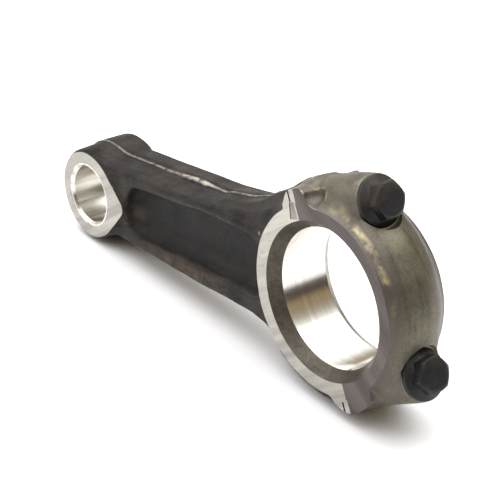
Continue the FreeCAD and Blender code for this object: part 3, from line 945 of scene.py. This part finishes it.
def build_bolt(name, v_side, turn):
    """One bolt in place: stem and flange turned, hexagon chamfered and joined on."""
    rings = [(BOLT_END_U, 3.5), (BOLT_END_U + 0.4, 3.9), (BOLT_END_U + 1.0, THREAD_R)]
    steps = int((THREAD_TOP_U - BOLT_END_U - 1.2) / THREAD_STEP)
    rings += [(BOLT_END_U + 1.1 + i * THREAD_STEP, THREAD_R) for i in range(steps)]
    rings += [(THREAD_TOP_U + 0.4, WAIST_R), (SEAT_U - 1.2, WAIST_R), (SEAT_U - 0.5, WAIST_R + 0.15),
              (SEAT_U, WAIST_R + 0.5), (SEAT_U, FLANGE_R - 0.25), (SEAT_U + 0.25, FLANGE_R),
              (SEAT_U + 1.2, FLANGE_R), (SEAT_U + 1.45, FLANGE_R - 0.12), (SEAT_U + 1.65, FLANGE_R - 0.5),
              (SEAT_U + 2.4, 9.0), (SEAT_U + 2.9, 7.9), (SEAT_U + 3.6, 7.0)]
    stem = turned_mesh(name + "_part", rings, 72, thread_radius)
    corner_r = HEX_AF / math.sqrt(3)
    corners = [math.radians(turn + 60 * i) for i in range(6)]
    ring = [(corner_r * math.cos(a), corner_r * math.sin(a)) for a in corners]
    levels = (SEAT_U + 1.0, SEAT_U + HEAD_HEIGHT)
    verts = [bolt_axis * u + across_axis * s + np.array([0, c, 0]) for u in levels for c, s in ring]
    faces = [[0, 1, 2, 3, 4, 5], [11, 10, 9, 8, 7, 6]]
    faces += [[(i + 1) % 6, i, i + 6, (i + 1) % 6 + 6] for i in range(6)]
    hexagon = mesh_object("hexagon", verts, faces, [bolt_black])
    soften = hexagon.modifiers.new("corners", "BEVEL")
    soften.width = HEX_CORNER * MM
    soften.segments = 3
    soften.limit_method = "ANGLE"
    bpy.context.view_layer.update()
    rounded = bpy.data.meshes.new_from_object(
        hexagon.evaluated_get(bpy.context.evaluated_depsgraph_get()))
    hexagon.modifiers.clear()
    hexagon.data = rounded
    top = SEAT_U + HEAD_HEIGHT
    crown = turned_mesh("crown", [(SEAT_U + 0.5, 14.0), (top - 1.9, 10.1), (top - 0.5, HEX_AF / 2 + 0.15),
                                  (top - 0.12, HEX_AF / 2 - 0.4), (top, HEX_AF / 2 - 0.9)], 96,
                        lambda along, turns, radius: np.full(turns.shape, radius))
    cut(hexagon, [crown], "INTERSECT")
    cut(stem, [hexagon], "UNION")
    for vertex in stem.data.vertices:
        vertex.co += Vector(across_axis * v_side * BOLT_V * MM)
    stem.name = name
    stem.data.name = name
    stem.data.materials.clear()
    stem.data.materials.append(bolt_black)
    shade(stem, ())
    return stem


for node_name, (v_side, hex_turn) in HEX_TURN.items():
    bolt = build_bolt(node_name + "_black", v_side, hex_turn)
    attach(bolt, node_name.replace("_cap", ""))
    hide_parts(node_name)

# ---------------------------------------------------------------------------
# The small-end bush.  A plain bearing bush pressed into the eye and bored to size; it is a
# close-grained silver metal with faint turning bands.
bush = frame["nodes"]["small_end_bush"]
bush_metal = ground_finish("bush metal", (0.46, 0.44, 0.40), (0.88, 0.86, 0.80), 0.28, pitch=0.45,
                           depth=0.001, stretch=(1.0, 30.0, 1.0), gloss_spread=0.05)
bush.data.materials.clear()
bush.data.materials.append(bush_metal)

# ---------------------------------------------------------------------------
# The table, the light and the camera.  The rod lies on its lower edge, so the table touches
# the big end's lower boss and the small end, and slopes a little in the rod's own frame.
def resting_line(pieces):
    """The two lowest (x, z) points, in metres, that a straight table touches."""
    spots = np.concatenate([np.array([v.co for v in p.data.vertices])[:, [0, 2]] for p in pieces])
    spots = spots[np.lexsort((spots[:, 1], spots[:, 0]))]
    hull = []
    for p in spots:
        while len(hull) > 1:
            a, b = hull[-2], hull[-1]
            if (b[0] - a[0]) * (p[1] - a[1]) - (b[1] - a[1]) * (p[0] - a[0]) > 0:
                break
            hull.pop()
        hull.append(p)
    middle = spots[:, 0].mean()
    for a, b in zip(hull, hull[1:], strict=False):
        if a[0] <= middle <= b[0]:
            return a, b
    return hull[0], hull[-1]


touch_a, touch_b = resting_line([rod, cap])
along_table = Vector((touch_b[0] - touch_a[0], 0, touch_b[1] - touch_a[1])).normalized()
up_table = Vector((-along_table.z, 0, along_table.x))
table_spot = Vector((touch_a[0], 0, touch_a[1])) - up_table * 0.0002
TABLE_R = 4.0
corners = [(table_spot + along_table * a * TABLE_R + Vector((0, b * TABLE_R, 0))) / MM
           for a, b in ((-1, -1), (1, -1), (1, 1), (-1, 1))]
table_white, table_tree, table_shader = new_finish("white table", 0.0)
table = mesh_object("table", corners, [[0, 1, 2, 3]], [table_white])
table_where = table_tree.nodes.new("ShaderNodeTexCoord").outputs["Object"]
table_grain = noise(table_tree, table_where, 60.0)
table_colour = mix_colour(table_tree, table_grain, (0.90, 0.90, 0.91), (0.93, 0.93, 0.935))
table_tree.links.new(table_colour, table_shader.inputs["Base Color"])
table_shader.inputs["Roughness"].default_value = 0.6

world = bpy.data.worlds.new("studio")
bpy.context.scene.world = world
world.use_nodes = True
sky = world.node_tree
sky.nodes.clear()
direction = sky.nodes.new("ShaderNodeTexCoord").outputs["Generated"]
direction_parts = add_node(sky, "ShaderNodeSeparateXYZ", [("Vector", direction)]).outputs
# the room is brighter behind the small end
behind = math_node(sky, "MAXIMUM", math_node(sky, "MULTIPLY", direction_parts["X"], -0.25), 0.0)
height_part = math_node(sky, "ADD", direction_parts["Z"], behind)
walls = sky.nodes.new("ShaderNodeValToRGB")
sky.links.new(height_part, walls.inputs["Fac"])
ROOM = ((0.0, (0.05, 0.042, 0.038)), (0.12, (0.07, 0.055, 0.045)), (0.26, (0.34, 0.26, 0.15)),
        (0.38, (0.30, 0.235, 0.145)), (0.54, (0.42, 0.385, 0.32)), (0.74, (1.35, 1.35, 1.38)))
for spot, (place, tone) in enumerate(ROOM):
    stop = walls.color_ramp.elements[spot] if spot < 2 else walls.color_ramp.elements.new(place)
    stop.position = place
    stop.color = (*tone, 1)
room = add_node(sky, "ShaderNodeBackground", [("Color", walls.outputs["Color"])], in_Strength=1.15)
backdrop = add_node(sky, "ShaderNodeBackground", in_Color=(1, 1, 1, 1), in_Strength=1.0)
seen = sky.nodes.new("ShaderNodeLightPath").outputs["Is Camera Ray"]
both = add_node(sky, "ShaderNodeMixShader", [(0, seen), (1, room.outputs[0]), (2, backdrop.outputs[0])])
sky.links.new(both.outputs[0], sky.nodes.new("ShaderNodeOutputWorld").inputs["Surface"])


def soft_light(name, place, aim, size, power):
    """A square soft box."""
    lamp = bpy.data.lights.new(name, "AREA")
    lamp.size = size
    lamp.energy = power
    holder = bpy.data.objects.new(name, lamp)
    holder.location = place
    holder.rotation_euler = (Vector(aim) - Vector(place)).to_track_quat("-Z", "Y").to_euler()
    bpy.context.scene.collection.objects.link(holder)


SHANK_MIDDLE = (-0.08, 0, 0)
soft_light("overhead box", (-0.10, 0.10, 1.0), SHANK_MIDDLE, 1.6, 14.0)
soft_light("left box", (-0.5, -0.75, 0.6), SHANK_MIDDLE, 0.8, 3.0)

CAMERA_SPOT = (0.4484, -0.4048, 0.2737)
CAMERA_RIGHT = Vector((0.63048, 0.77522, -0.03914))
CAMERA_UP = Vector((-0.27789, 0.27251, 0.92115))
camera_data = bpy.data.cameras.new("camera")
camera_data.lens = 114.2
camera_data.sensor_width = 36.0
camera_data.clip_start = 0.01
camera = bpy.data.objects.new("camera", camera_data)
camera_back = CAMERA_RIGHT.cross(CAMERA_UP)
camera.matrix_world = Matrix.Translation(CAMERA_SPOT) @ Matrix(
    (CAMERA_RIGHT, CAMERA_UP, camera_back)).transposed().to_4x4()
bpy.context.scene.collection.objects.link(camera)
bpy.context.scene.camera = camera
bpy.context.scene.view_settings.view_transform = "Standard"
